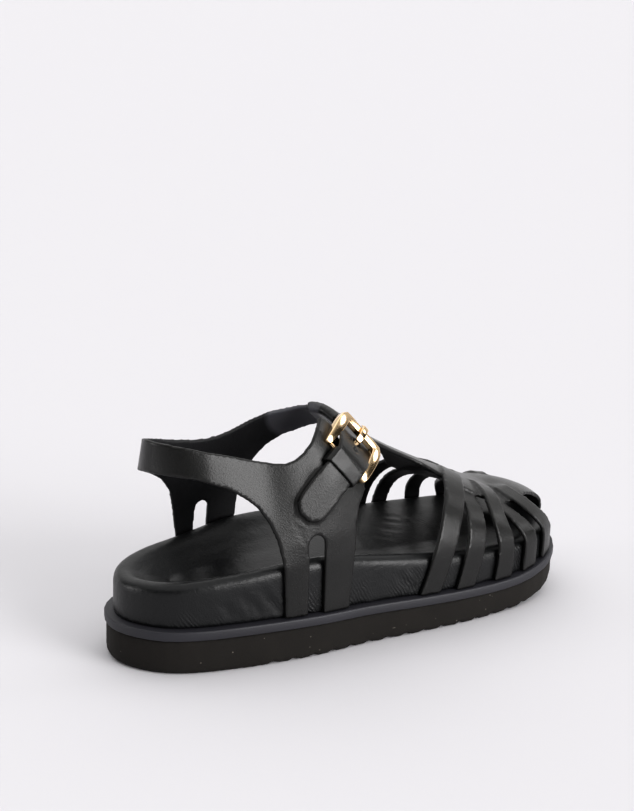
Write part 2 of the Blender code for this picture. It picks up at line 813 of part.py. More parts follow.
lofted(
    "footbed",
    [ring_at(PLATE_RING, WALL_INSET, lambda x, y: welt_top(x) + CLEARANCE)]
    + [rim_ring(angle) for angle in RIM_ANGLES]
    + [cup_ring(*row) for row in CUP_SLOPE],
    FOOTBED_FINISH,
)


# Heel band with both quarters, cut in one
WALL_STEPS = 2
RISE_STEPS = 5
LEAST_WALL = 0.12
BAND_STEP = 0.0085
BAND_END = 0.085


def quarter_column(around, side, top, bottom):
    """Skin points up one line of the quarter: first along the upright wall, then over the rounded part."""
    foot = loop_place(SKIN_LOOP, around if side < 0 else 1 - around)
    high = top * MM
    low = max(bottom * MM, welt_top(foot.x) + CLEARANCE)
    bend = max(rim_top(foot.x, foot.y), low + LEAST_WALL * (high - low))
    heights = [low + (bend - low) * i / WALL_STEPS for i in range(WALL_STEPS)]
    heights += [bend + (high - bend) * i / RISE_STEPS for i in range(RISE_STEPS + 1)]
    points = [ring_point(around, side, height) for height in heights]
    return [(point, normal_at(point).normalized(), 0.0) for point in points]


def quarter_shares(table):
    """Even steps round the narrow heel band, then the rows of the table for the legs."""
    band = [BAND_STEP * i for i in range(int(BAND_END / BAND_STEP) + 1)]
    return band + [row[0] for row in table if row[0] > band[-1] + BAND_STEP / 3]


def quarter_half(table, side):
    return [
        quarter_column(around, side, smooth(table, 1, around), smooth(table, 2, around))
        for around in quarter_shares(table)
    ]


BAND_COLUMNS = quarter_half(INNER_QUARTER, 1)[::-1] + quarter_half(OUTER_QUARTER, -1)[1:]
QUARTERS = sheet("heel_band_and_quarters", BAND_COLUMNS)


def slot_cutter(name, along, side, width, top):
    """A tall slot with a round top that splits a quarter into two legs."""
    half = width * MM / 2
    outline = [Vector((-half, -1 * MM)), Vector((half, -1 * MM))]
    centre = top * MM - half
    for turn in range(0, 181, 20):
        turn = math.radians(turn)
        outline.append(Vector((half * math.cos(turn), centre + half * math.sin(turn))))
    near, far = side * BALL_WIDTH * 0.25, side * BALL_WIDTH * 0.60
    rows = [[Vector((along * LENGTH + p.x, y, p.y)) for p in outline] for y in (near, far)]
    return swept(name, rows)


for number, row in enumerate(SLOTS):
    combine(QUARTERS, slot_cutter(f"quarter_slot_{number}", *row), "DIFFERENCE")

# Front panel, from the T-bar down over the toe
PANEL_ROWS = 30
PANEL_COLUMNS = 11


def panel_row(share):
    along, outer, inner, drop, lift = between(PANEL, share)
    row = []
    for j in range(PANEL_COLUMNS):
        y = (outer + (inner - outer) * j / (PANEL_COLUMNS - 1)) * BALL_WIDTH
        point = top_point(along * LENGTH, y, max(drop, 0.0))
        row.append((point, normal_at(point).normalized(), lift * MM))
    return row


PANEL_GRID = [panel_row(i / PANEL_ROWS) for i in range(PANEL_ROWS + 1)]
UPPER = sheet("upper", PANEL_GRID, finish=LEATHER_FINISH, helper=False)


# Slits of the panel: half-moons where straps a, c and e pass through
SLIT_AHEAD = 2.6 * MM
SLIT_BEHIND = 1.0 * MM
SLIT_SPARE = 0.8 * MM
SLIT_AT = 0.915


def mirrored(table):
    """A strap of the outer side as the inner side carries it."""
    rows = []
    for along, across, up, lift, width in table:
        forward = smooth(INNER_SHIFT, 1, along)
        rows.append((along + forward, -across, up, lift, width * INNER_WIDTH))
    return tuple(rows)


def slit_cutter(name, table):
    track = Track(table)
    distance = track.length * SLIT_AT
    place, ahead, sideways, outward, _, width = track.at(distance)
    half = width / 2 + SLIT_SPARE
    outline = [place - ahead * SLIT_BEHIND + sideways * side * half for side in (-1, 1)]
    for turn in (30, 60, 90, 120, 150):
        turn = math.radians(turn)
        outline.append(place + ahead * SLIT_AHEAD * math.sin(turn) + sideways * half * math.cos(turn))
    rows = [[p + outward * lift for p in outline] for lift in (-4 * LEATHER, 4 * LEATHER)]
    return swept(name, rows)


WEAVE = {}
for letter, table in WOVEN.items():
    WEAVE["outer_" + letter] = table
    WEAVE["inner_" + letter] = mirrored(table)

for name, table in WEAVE.items():
    if name[-1] in "ace":
        combine(UPPER, slit_cutter("slit_" + name, table), "DIFFERENCE")


# Woven straps
STRAP_STEPS = 14
STAND_STEPS = 3


def woven_strap(name, table):
    rows = strap_rows(table, STRAP_STEPS)
    top = [place.z for place, _, _ in rows[STAND_STEPS]]
    for i in range(STAND_STEPS):
        for j, (place, outward, lift) in enumerate(rows[i]):
            low = welt_top(place.x) + CLEARANCE
            place.z = low + (top[j] - low) * i / STAND_STEPS
    return sheet(name, rows)


for name, table in WEAVE.items():
    combine(UPPER, woven_strap("strap_" + name, table), "UNION")
combine(UPPER, QUARTERS, "UNION")

# Ankle strap, its tab under the buckle and the loop of the T-bar round it
STRAP_TRACK = Track(ANKLE_STRAP)
HINGE_AT = STRAP_TRACK.nearest(*HINGE_PLACE)
FRAME_REACH = 18.3 * MM
OUTER_BAR_AT = HINGE_AT - FRAME_REACH
KEEPER_BEHIND = 5.6 * MM
PRONG_HOLE_AHEAD = 12.4 * MM
SPARE_HOLE_AHEAD = 5.8 * MM
PRONG_HOLE = (6.2 * MM, 3.8 * MM)
SPARE_HOLE = (2.4 * MM, 2.4 * MM)
PRONG_SLOT = (7.0 * MM, 4.0 * MM)
HOLE_DEPTH = 5 * LEATHER

ANKLE = sheet("ankle_strap", strap_rows(ANKLE_STRAP, 36))


def hole_cutter(name, distance, size, low, high):
    """An oval hole in a strap, from one lift off the last to another."""
    place, ahead, sideways, outward, _, _ = STRAP_TRACK.at(distance)
    long, wide = size
    rows = []
    for lift in (low, high):
        row = []
        for i in range(10):
            turn = math.tau * i / 10
            off = ahead * long / 2 * math.cos(turn) + sideways * wide / 2 * math.sin(turn)
            row.append(place + outward * lift + off)
        rows.append(row)
    return swept(name, rows)


prong_hole = hole_cutter("prong_hole", HINGE_AT - PRONG_HOLE_AHEAD, PRONG_HOLE, -LEATHER, HOLE_DEPTH)
spare_hole = hole_cutter("spare_hole", HINGE_AT - SPARE_HOLE_AHEAD, SPARE_HOLE, -LEATHER, HOLE_DEPTH)
prong_slot = hole_cutter("prong_slot", HINGE_AT, PRONG_SLOT, -LEATHER, 1.5 * LEATHER)
combine(ANKLE, prong_hole, "DIFFERENCE")
combine(ANKLE, spare_hole, "DIFFERENCE")
combine(UPPER, ANKLE, "UNION")
combine(UPPER, prong_slot, "DIFFERENCE")


def loop_section(distance):
    """Section of the T-bar's loop: inside the strap, round its rear edge and back over it."""
    inside, over = -LEATHER * 0.9, LEATHER * 1.75
    back, front = -STRAP_WIDTH / 2 - LEATHER, STRAP_WIDTH / 2 + 1.2 * MM
    corner = LEATHER * 0.8
    outline = (
        (front, inside),
        (back + corner, inside),
        (back, inside + corner),
        (back, over - corner),
        (back + corner, over),
        (front - corner, over),
        (front, over - corner),
    )
    return [STRAP_TRACK.point(distance, across, lift) for across, lift in outline]


LOOP_FROM = STRAP_TRACK.nearest(0.460, 0.100, 0.91)
LOOP_TO = STRAP_TRACK.nearest(0.470, -0.115, 0.90)
LOOP_STEPS = 6
LOOP = swept(
    "t_bar_loop",
    [loop_section(LOOP_FROM + (LOOP_TO - LOOP_FROM) * i / LOOP_STEPS) for i in range(LOOP_STEPS + 1)],
)
combine(UPPER, LOOP, "UNION")

# Buckle frame: two heavy cheeks and an outer bar, with a thin hinge bar under the strap
FRAME_HALF_HEIGHT = 1.9 * MM
FRAME_HALF_THICK = 2.1 * MM
HALF_SPAN = FRAME_WIDTH / 2 - FRAME_HALF_THICK
HINGE_RADIUS = 0.9 * MM
HINGE_LIFT = LEATHER + 1.5 * MM
HINGE_DROP = 2.0 * MM
BAR_RISE = 1.25 * MM
CORNER = 3.0 * MM
HINGE = STRAP_TRACK.point(HINGE_AT, 0.0, HINGE_LIFT)
OUTER_BAR = STRAP_TRACK.strap(OUTER_BAR_AT, 0.0, LEATHER + BAR_RISE + FRAME_HALF_HEIGHT)
_, _, ACROSS, OUTWARD, _, _ = STRAP_TRACK.at((HINGE_AT + OUTER_BAR_AT) / 2)
FRAME_ALONG = (OUTER_BAR - HINGE - OUTWARD * HINGE_DROP).normalized()
FRAME_ACROSS = (ACROSS - FRAME_ALONG * ACROSS.dot(FRAME_ALONG)).normalized()
FRAME_OUT = FRAME_ACROSS.cross(FRAME_ALONG)
FRAME_OUT = FRAME_OUT if FRAME_OUT.dot(OUTWARD) > 0 else -FRAME_OUT
CHEEK_START = HINGE + FRAME_OUT * HINGE_DROP
SPAN = (OUTER_BAR - CHEEK_START).dot(FRAME_ALONG)


def framed(along, across, out):
    """A point in the buckle's own directions, from the middle of its cheeks' lower ends."""
    return CHEEK_START + FRAME_ALONG * along + FRAME_ACROSS * across + FRAME_OUT * out


def frame_path():
    """Stations round the frame: along, across, out, half thickness, half height."""
    heavy = (FRAME_HALF_THICK, FRAME_HALF_HEIGHT)
    path = []
    for side in (-1, 1):
        cheek = [(-0.6 * MM, side * HALF_SPAN, 0.0, *heavy), (SPAN * 0.4, side * HALF_SPAN, 0.0, *heavy)]
        for i in range(5):
            turn = math.radians(90 * i / 4)
            along = SPAN - CORNER + CORNER * math.sin(turn)
            cheek.append((along, side * (HALF_SPAN - CORNER + CORNER * math.cos(turn)), 0.0, *heavy))
        path += cheek if side < 0 else cheek[::-1]
    thin = (HINGE_RADIUS, HINGE_RADIUS)
    path.append((-0.9 * MM, HALF_SPAN - 1.5 * MM, -HINGE_DROP * 0.8, *thin))
    path.append((0.0, HALF_SPAN - 2.6 * MM, -HINGE_DROP, *thin))
    path.append((0.0, 2.6 * MM - HALF_SPAN, -HINGE_DROP, *thin))
    path.append((-0.9 * MM, 1.5 * MM - HALF_SPAN, -HINGE_DROP * 0.8, *thin))
    return path


def rounded_ring(centre, first, second, half_first, half_second, count=12):
    """A section between a box and an oval."""
    ring = []
    for i in range(count):
        turn = math.tau * (i + 0.5) / count
        c, s = math.cos(turn), math.sin(turn)
        full = (abs(c) ** 3.2 + abs(s) ** 3.2) ** (-1 / 3.2)
        ring.append(centre + first * half_first * c * full + second * half_second * s * full)
    return ring


def frame_sections():
    path = frame_path()
    sections = []
    for i, (along, across, out, thick, height) in enumerate(path):
        before, after = path[i - 1], path[(i + 1) % len(path)]
        ahead = Vector((after[0] - before[0], after[1] - before[1])).normalized()
        side = FRAME_ALONG * ahead.y - FRAME_ACROSS * ahead.x
        sections.append(rounded_ring(framed(along, across, out), side, FRAME_OUT, thick, height))
    return sections


def ring_solid(name, sections, finish):
    """A closed solid from sections that run round and meet."""
    count, width = len(sections), len(sections[0])
    points = [p for section in sections for p in section]
    faces = []
    for i in range(count):
        for j in range(width):
            a, b = i * width + j, i * width + (j + 1) % width
            c, d = (i + 1) % count * width + (j + 1) % width, (i + 1) % count * width + j
            faces.append((a, b, c, d))
    return solid(name, points, faces, finish)


ring_solid("buckle_frame", frame_sections(), BUCKLE_FINISH)

# Prong: curled round the hinge bar, under the strap, up through its hole and over the outer bar
PRONG_HALF_THICK = 0.55 * MM
PRONG_HALF_WIDTH = 1.4 * MM
CURL_RADIUS = HINGE_RADIUS + CLEARANCE + PRONG_HALF_THICK
PRONG = (
    # from the hinge in mm, lift in mm, share of the width
    (3.4, 4.5, 1.00),
    (6.0, 3.8, 1.00),
    (9.0, 3.0, 1.00),
    (10.8, 3.4, 1.00),
    (12.2, 5.5, 1.00),
    (13.8, 7.2, 1.00),
    (15.6, 9.0, 1.00),
    (18.3, 9.8, 0.95),
    (20.3, 9.4, 0.90),
    (21.6, 8.7, 0.60),
)


def prong_path():
    """Distance from the hinge and lift along the prong, with the share of its width."""
    path = []
    for turn in range(-40, -301, -26):
        turn = math.radians(turn)
        path.append((CURL_RADIUS * math.cos(turn), HINGE_LIFT + CURL_RADIUS * math.sin(turn), 1.0))
    return path + [(gone * MM, lift * MM, width) for gone, lift, width in PRONG]


def prong_sections():
    path = prong_path()
    sections = []
    for i, (gone, lift, share) in enumerate(path):
        before, after = path[max(i - 1, 0)], path[min(i + 1, len(path) - 1)]
        lean = Vector((after[0] - before[0], after[1] - before[1])).normalized()
        _, ahead, sideways, outward, _, _ = STRAP_TRACK.at(HINGE_AT - gone)
        normal = outward * lean.x + ahead * lean.y
        centre = STRAP_TRACK.point(HINGE_AT - gone, 0.0, lift)
        sections.append(rounded_ring(centre, sideways, normal, PRONG_HALF_WIDTH * share, PRONG_HALF_THICK, 8))
    return sections


swept("buckle_prong", prong_sections(), BUCKLE_FINISH, helper=False)

# Keeper: a leather loop round the strap's tail, seated on the quarter
KEEPER_THICK = 1.3 * MM


def keeper_section(distance):
    """Inner and outer outline of the loop at one edge of the keeper."""
    tail = STRAP_TRACK.at(distance)[4]
    width = STRAP_TRACK.at(distance)[5]
    half = width / 2 + CLEARANCE
    low, high = tail - CLEARANCE, tail + LEATHER + CLEARANCE
    inner = [
        (half, low),
        (half, high - 0.4 * MM),
        (half - 0.4 * MM, high),
        (0.0, high),
        (0.4 * MM - half, high),
        (-half, high - 0.4 * MM),
        (-half, low),
        (0.0, low),
    ]
    outer = [
        (half + KEEPER_THICK, low - KEEPER_THICK),
        (half + KEEPER_THICK, high - 0.4 * MM),
        (half, high + KEEPER_THICK),
        (0.0, high + KEEPER_THICK),
        (-half, high + KEEPER_THICK),
        (-half - KEEPER_THICK, high - 0.4 * MM),
        (-half - KEEPER_THICK, low - KEEPER_THICK),
        (0.0, low - KEEPER_THICK),
    ]
    return [
        [STRAP_TRACK.point(distance, across, lift) for across, lift in outline]
        for outline in (inner, outer)
    ]


def keeper():
    near = keeper_section(HINGE_AT + KEEPER_BEHIND - KEEPER_WIDTH / 2)
    far = keeper_section(HINGE_AT + KEEPER_BEHIND + KEEPER_WIDTH / 2)
    sections = [[a, b, d, c] for a, b, c, d in zip(*near, *far)]
    return ring_solid("strap_keeper", sections, LEATHER_FINISH)


keeper()
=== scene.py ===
import json
import math

import bmesh
import bpy
from mathutils import Matrix, Vector

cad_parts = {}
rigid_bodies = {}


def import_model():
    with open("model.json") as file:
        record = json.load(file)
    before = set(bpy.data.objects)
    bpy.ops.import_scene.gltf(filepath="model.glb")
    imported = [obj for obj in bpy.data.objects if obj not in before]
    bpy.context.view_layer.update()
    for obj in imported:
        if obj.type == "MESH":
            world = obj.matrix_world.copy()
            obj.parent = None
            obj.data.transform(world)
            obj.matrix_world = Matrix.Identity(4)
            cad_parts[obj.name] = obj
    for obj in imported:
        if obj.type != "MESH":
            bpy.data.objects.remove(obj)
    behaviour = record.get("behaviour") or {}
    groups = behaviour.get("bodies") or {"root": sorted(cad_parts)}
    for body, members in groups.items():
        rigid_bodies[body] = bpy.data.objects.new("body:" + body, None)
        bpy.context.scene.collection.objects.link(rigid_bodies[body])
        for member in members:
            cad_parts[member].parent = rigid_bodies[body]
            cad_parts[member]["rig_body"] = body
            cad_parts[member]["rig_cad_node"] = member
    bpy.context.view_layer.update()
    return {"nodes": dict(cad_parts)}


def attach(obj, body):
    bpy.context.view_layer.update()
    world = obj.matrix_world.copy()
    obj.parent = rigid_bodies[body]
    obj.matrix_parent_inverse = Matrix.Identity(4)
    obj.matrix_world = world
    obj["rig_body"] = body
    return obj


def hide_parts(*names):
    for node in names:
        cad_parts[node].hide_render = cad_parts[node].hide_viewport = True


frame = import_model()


# Outsole.
# A thick slab of closed-cell EVA foam, cut with a rippled tread, buffed matte and glued under the welt.
# The foam is brownish black, dead matte, with the pale specks of its cut cells.
OUTSOLE_VOXEL = 0.0010
MERGE_WITHIN = 0.000002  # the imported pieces' loose triangles meet to the last digit
BROAD_LEAN = math.radians(14)  # neighbours that lean further apart belong to a cut edge


def linear(hex_colour):
    """An sRGB hex value as the linear colour that a node socket takes."""
    parts = [int(hex_colour[i : i + 2], 16) / 255 for i in (1, 3, 5)]
    return [c / 12.92 if c <= 0.04045 else ((c + 0.055) / 1.055) ** 2.4 for c in parts] + [1]


def add_node(material, kind, settings=None, **links):
    """One node of a material, with its settings by name or socket number, and what feeds its sockets."""
    tree = material.node_tree
    node = tree.nodes.new(kind)
    for name, value in (settings or {}).items():
        if isinstance(name, int) or name in node.inputs:
            node.inputs[name].default_value = value
        else:
            setattr(node, name, value)
    for name, source in links.items():
        socket = int(name[1:]) if name[1:].isdigit() else name.replace("_", " ")
        tree.links.new(source, node.inputs[socket])
    return node


def new_material(name):
    """An empty node material with its output, and its object coordinates."""
    material = bpy.data.materials.new(name)
    material.use_nodes = True
    material.node_tree.nodes.clear()
    output = add_node(material, "ShaderNodeOutputMaterial")
    place = add_node(material, "ShaderNodeTexCoord")
    return material, output, place.outputs["Object"]


def edit(piece):
    """Edit mode on one piece alone, with nothing of it selected."""
    bpy.ops.object.select_all(action="DESELECT")
    piece.select_set(True)
    bpy.context.view_layer.objects.active = piece
    bpy.ops.object.mode_set(mode="EDIT")
    bpy.ops.mesh.select_all(action="DESELECT")


def broad_faces(piece):
    """A vertex group of the points whose neighbours all face nearly their way: all but the cut edges."""
    mesh = piece.data
    steady = [True] * len(mesh.vertices)
    limit = math.cos(BROAD_LEAN)
    normals = [vertex.normal.copy() for vertex in mesh.vertices]
    for side in mesh.edges:
        first, second = side.vertices
        if normals[first].dot(normals[second]) < limit:
            steady[first] = steady[second] = False
    group = piece.vertex_groups.new(name="broad_faces")
    group.add([index for index, calm in enumerate(steady) if calm], 1.0, "REPLACE")
    return group.name


def refined(node, name, voxel, rounds, ironing=0):
    """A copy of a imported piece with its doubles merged, cut into even small faces and rubbed smooth.

    The ironing then smooths its broad faces alone, so that they lose their facets and its edges stay crisp.
    """
    bpy.ops.object.select_all(action="DESELECT")
    source = frame["nodes"][node]
    piece = source.copy()
    piece.data = source.data.copy()
    piece.name = piece.data.name = name
    piece.parent = None
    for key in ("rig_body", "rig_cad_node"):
        if key in piece:
            del piece[key]
    bpy.context.scene.collection.objects.link(piece)
    edit(piece)
    bpy.ops.mesh.select_all(action="SELECT")
    bpy.ops.mesh.remove_doubles(threshold=MERGE_WITHIN)
    bpy.ops.object.mode_set(mode="OBJECT")
    if voxel:
        remesh = piece.modifiers.new("even_faces", "REMESH")
        remesh.mode = "VOXEL"
        remesh.voxel_size = voxel
        bpy.ops.object.modifier_apply(modifier=remesh.name)
    if rounds:
        rub = piece.modifiers.new("rubbed", "SMOOTH")
        rub.factor = 0.5
        rub.iterations = rounds
        bpy.ops.object.modifier_apply(modifier=rub.name)
    if ironing:
        iron = piece.modifiers.new("ironed", "SMOOTH")
        iron.vertex_group = broad_faces(piece)
        iron.factor = 0.5
        iron.iterations = ironing
        bpy.ops.object.modifier_apply(modifier=iron.name)
        piece.vertex_groups.clear()
    bpy.ops.object.shade_smooth()
    return piece


outsole = refined("outsole", "eva_outsole", voxel=OUTSOLE_VOXEL, rounds=4)

# The cut cells are drawn at 0.7 mm, coarser than the real ones, and a pale one shows every few centimetres.
foam, foam_out, foam_place = new_material("eva_foam_buffed")
foam_cells = add_node(foam, "ShaderNodeTexNoise", {"Scale": 1400.0, "Detail": 3.0}, Vector=foam_place)
foam_specks = add_node(foam, "ShaderNodeTexVoronoi", {"Scale": 420.0, "Randomness": 1.0}, Vector=foam_place)
foam_speck_cut = add_node(
    foam, "ShaderNodeMapRange", {"From Min": 0.10, "From Max": 0.16, "To Min": 1.0, "To Max": 0.0},
    Value=foam_specks.outputs["Distance"]
)
foam_patches = add_node(foam, "ShaderNodeTexNoise", {"Scale": 60.0, "Detail": 4.0}, Vector=foam_place)
foam_crowd = add_node(foam, "ShaderNodeTexNoise", {"Scale": 230.0, "Detail": 1.0}, Vector=foam_place)
foam_rare = add_node(
    foam, "ShaderNodeMapRange", {"From Min": 0.60, "From Max": 0.66, "To Min": 0.0, "To Max": 1.0},
    Value=foam_crowd.outputs["Fac"]
)
foam_speck = add_node(
    foam, "ShaderNodeMath", {"operation": "MULTIPLY"}, _0=foam_speck_cut.outputs[0], _1=foam_rare.outputs[0]
)
foam_base = add_node(
    foam, "ShaderNodeMix", {"data_type": "RGBA", 6: linear("#161412"), 7: linear("#221F1C")},
    _0=foam_patches.outputs["Fac"]
)
foam_colour = add_node(
    foam, "ShaderNodeMix", {"data_type": "RGBA", 7: linear("#6A655E")},
    _0=foam_speck.outputs[0], _6=foam_base.outputs[2]
)
foam_bump = add_node(
    foam, "ShaderNodeBump", {"Strength": 0.35, "Distance": 0.0003}, Height=foam_cells.outputs["Fac"]
)
foam_shader = add_node(
    foam, "ShaderNodeBsdfPrincipled", {"Roughness": 0.86, "Specular IOR Level": 0.3},
    Base_Color=foam_colour.outputs[2], Normal=foam_bump.outputs[0]
)
foam.node_tree.links.new(foam_shader.outputs[0], foam_out.inputs["Surface"])
outsole.data.materials.clear()
outsole.data.materials.append(foam)
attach(outsole, "root")
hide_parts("outsole")


# Welt.
# A flat band of lilac-grey rubber between the foam and the footbed, glued all round and trimmed square.
# Its trimmed edge catches a thin line of light along the top.
welt = refined("midsole_welt", "rubber_welt", voxel=0, rounds=0)
edit(welt)
bpy.ops.mesh.select_all(action="SELECT")
bpy.ops.mesh.tris_convert_to_quads(face_threshold=0.5, shape_threshold=0.5)
bpy.ops.object.mode_set(mode="OBJECT")
WELT_CORNER = math.radians(35)
welt_edge = welt.modifiers.new("trimmed_edge", "BEVEL")
welt_edge.width = 0.00035
welt_edge.segments = 2
welt_edge.limit_method = "ANGLE"
welt_edge.angle_limit = WELT_CORNER
bpy.ops.object.modifier_apply(modifier=welt_edge.name)
bpy.ops.object.shade_smooth_by_angle(angle=WELT_CORNER)

# Its grain is drawn at about 1 mm, coarser than the marks of the trimming knife.
rubber, rubber_out, rubber_place = new_material("welt_rubber_trimmed")
rubber_grain = add_node(rubber, "ShaderNodeTexNoise", {"Scale": 900.0, "Detail": 4.0}, Vector=rubber_place)
rubber_cloud = add_node(rubber, "ShaderNodeTexNoise", {"Scale": 35.0, "Detail": 3.0}, Vector=rubber_place)
rubber_colour = add_node(
    rubber, "ShaderNodeMix", {"data_type": "RGBA", 6: linear("#1F1F24"), 7: linear("#29292F")},
    _0=rubber_cloud.outputs["Fac"]
)
rubber_bump = add_node(
    rubber, "ShaderNodeBump", {"Strength": 0.25, "Distance": 0.0002}, Height=rubber_grain.outputs["Fac"]
)
rubber_shader = add_node(
    rubber, "ShaderNodeBsdfPrincipled", {"Roughness": 0.55, "Specular IOR Level": 0.5},
    Base_Color=rubber_colour.outputs[2], Normal=rubber_bump.outputs[0]
)
rubber.node_tree.links.new(rubber_shader.outputs[0], rubber_out.inputs["Surface"])
welt.data.materials.clear()
welt.data.materials.append(rubber)
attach(welt, "root")
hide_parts("midsole_welt")


# Footbed.
# A thick cupped cork and foam bed, wrapped in soft black nappa leather that is drawn over the rim and glued
# down its side. The wrap is smooth on the seat and puckered in fine folds down the side where it was pulled in.
footbed = refined("footbed", "wrapped_footbed", voxel=0.0009, rounds=2, ironing=30)

# Soft troughs in the wrap, in mm: where each starts and ends, how wide its trough is and how deep it goes.
WRAP_TROUGHS = (
    # x from, y from, z from, x to, y to, z to, width, depth
    (-84, -34.5, 38, -77, -36.0, 25, 2.4, 0.34),
    (-79, -35.4, 36, -73, -36.8, 24, 2.2, 0.30),
    (-74, -36.3, 39, -67, -37.8, 24, 2.6, 0.36),
    (-69, -37.2, 34, -63, -38.4, 23, 2.2, 0.32),
    (-93, -32.3, 34, -88, -33.7, 25, 2.6, 0.24),
    (4, -43.2, 34, 9, -43.7, 23, 2.4, 0.30),
    (8, -43.5, 30, 14, -44.0, 22, 2.2, 0.34),
    (13, -43.8, 35, 17, -44.2, 24, 2.2, 0.34),
    (42, 30, 36.5, 60, 20, 34, 2.6, 0.18),
    (40, 22, 35.5, 56, 12, 34, 2.4, 0.16),
    (52, 27, 36, 64, 12, 33.5, 2.4, 0.16),
    (30, 16, 34.5, 47, 4, 33.5, 2.8, 0.14),
    (20, 8, 34.5, 34, -4, 33.5, 3.0, 0.12),
)
RIDGE_PLACE, RIDGE_SHARE, RIDGE_STEEPNESS = 1.5, 0.45, 2.5  # in widths from the trough, of its depth
TROUGH_REACH = 3  # in widths


def worked_in(piece, troughs):
    """Presses soft troughs into a piece along its normals, each with a low ridge on its two sides."""
    normals = [vertex.normal.copy() for vertex in piece.data.vertices]
    for x0, y0, z0, x1, y1, z1, width, depth in troughs:
        start = Vector((x0, y0, z0)) / 1000
        way = Vector((x1, y1, z1)) / 1000 - start
        for vertex, normal in zip(piece.data.vertices, normals):
            gone = (vertex.co - start).dot(way) / way.length_squared
            if not 0 < gone < 1:
                continue
            off = (vertex.co - start - way * gone).length * 1000 / width
            if off < TROUGH_REACH:
                ridge = RIDGE_SHARE * math.exp(-((off - RIDGE_PLACE) ** 2) * RIDGE_STEEPNESS)
                profile = math.exp(-off * off) - ridge
                vertex.co -= normal * (depth / 1000 * math.sin(math.pi * gone) * profile)
    piece.data.update()


worked_in(footbed, WRAP_TROUGHS)

# Its pores are drawn 1.1 mm apart, coarser than the real ones, so that they show.
nappa, nappa_out, nappa_place = new_material("nappa_leather_wrapped")
nappa_pores = add_node(
    nappa, "ShaderNodeTexVoronoi", {"Scale": 900.0, "feature": "DISTANCE_TO_EDGE"}, Vector=nappa_place
)
# The fine puckers lie 1.6 mm apart, slanted, in patches down the side, and fade out towards the rim.
nappa_slant = add_node(
    nappa, "ShaderNodeMapping", {"Rotation": (0.0, math.radians(32), 0.0)}, Vector=nappa_place
)
nappa_pucker = add_node(
    nappa, "ShaderNodeTexWave", {"Scale": 190.0, "Distortion": 7.0, "Detail": 3.0, "Detail Scale": 0.9},
    Vector=nappa_slant.outputs[0]
)
nappa_axes = add_node(nappa, "ShaderNodeSeparateXYZ", Vector=nappa_place)
nappa_low = add_node(
    nappa, "ShaderNodeMapRange", {"From Min": 0.036, "From Max": 0.027, "To Min": 0.0, "To Max": 1.0},
    Value=nappa_axes.outputs["Z"]
)
nappa_areas = add_node(nappa, "ShaderNodeTexNoise", {"Scale": 34.0, "Detail": 2.0}, Vector=nappa_place)
nappa_zone = add_node(
    nappa, "ShaderNodeMapRange", {"From Min": 0.46, "From Max": 0.62, "To Min": 0.0, "To Max": 1.0},
    Value=nappa_areas.outputs["Fac"]
)
nappa_where = add_node(
    nappa, "ShaderNodeMath", {"operation": "MULTIPLY"}, _0=nappa_low.outputs[0], _1=nappa_zone.outputs[0]
)
nappa_folds = add_node(
    nappa, "ShaderNodeMath", {"operation": "MULTIPLY"},
    _0=nappa_pucker.outputs["Fac"], _1=nappa_where.outputs[0]
)
nappa_pull = add_node(
    nappa, "ShaderNodeTexNoise", {"Scale": 300.0, "Detail": 5.0, "Distortion": 0.8}, Vector=nappa_place
)
nappa_cloud = add_node(nappa, "ShaderNodeTexNoise", {"Scale": 28.0, "Detail": 4.0}, Vector=nappa_place)
nappa_colour = add_node(
    nappa, "ShaderNodeMix", {"data_type": "RGBA", 6: linear("#0C0D0E"), 7: linear("#131415")},
    _0=nappa_cloud.outputs["Fac"]
)
nappa_gloss = add_node(
    nappa, "ShaderNodeMapRange", {"To Min": 0.30, "To Max": 0.44}, Value=nappa_cloud.outputs["Fac"]
)
nappa_bump_folds = add_node(
    nappa, "ShaderNodeBump", {"Strength": 0.45, "Distance": 0.0005}, Height=nappa_folds.outputs[0]
)
nappa_bump_pull = add_node(
    nappa, "ShaderNodeBump", {"Strength": 0.32, "Distance": 0.0005},
    Height=nappa_pull.outputs["Fac"], Normal=nappa_bump_folds.outputs[0]
)
nappa_bump = add_node(
    nappa, "ShaderNodeBump", {"Strength": 0.30, "Distance": 0.0002},
    Height=nappa_pores.outputs["Distance"], Normal=nappa_bump_pull.outputs[0]
)
nappa_shader = add_node(
    nappa, "ShaderNodeBsdfPrincipled", {"Specular IOR Level": 0.36},
    Base_Color=nappa_colour.outputs[2], Roughness=nappa_gloss.outputs[0], Normal=nappa_bump.outputs[0]
)
nappa.node_tree.links.new(nappa_shader.outputs[0], nappa_out.inputs["Surface"])
footbed.data.materials.clear()
footbed.data.materials.append(nappa)
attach(footbed, "root")
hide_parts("footbed")


# Upper.
# Firm bridle leather 2.2 mm thick, cut in strips and panels, waxed and ironed smooth on the grain side. The cut
# edges are inked black, and the flesh side is a dark, dull suede. The strips are woven through one another, and
# their ends are tucked in beside the footbed and glued down on the welt.
upper = refined("upper", "leather_upper", voxel=0.00083, rounds=3, ironing=60)

# Soft creases, in mm, where the outer quarter bends at the top of its slot.
QUARTER_CREASES = (
    # x from, y from, z from, x to, y to, z to, width, depth
    (-59, -38.6, 69, -52, -41.2, 63, 1.1, 0.09),
    (-58, -39.3, 65.5, -51.5, -41.5, 60, 1.1, 0.10),
    (-56, -40.2, 62, -51, -41.9, 57, 1.0, 0.09),
    (-55, -39.3, 71, -50, -41.0, 66, 1.1, 0.07),
)
worked_in(upper, QUARTER_CREASES)

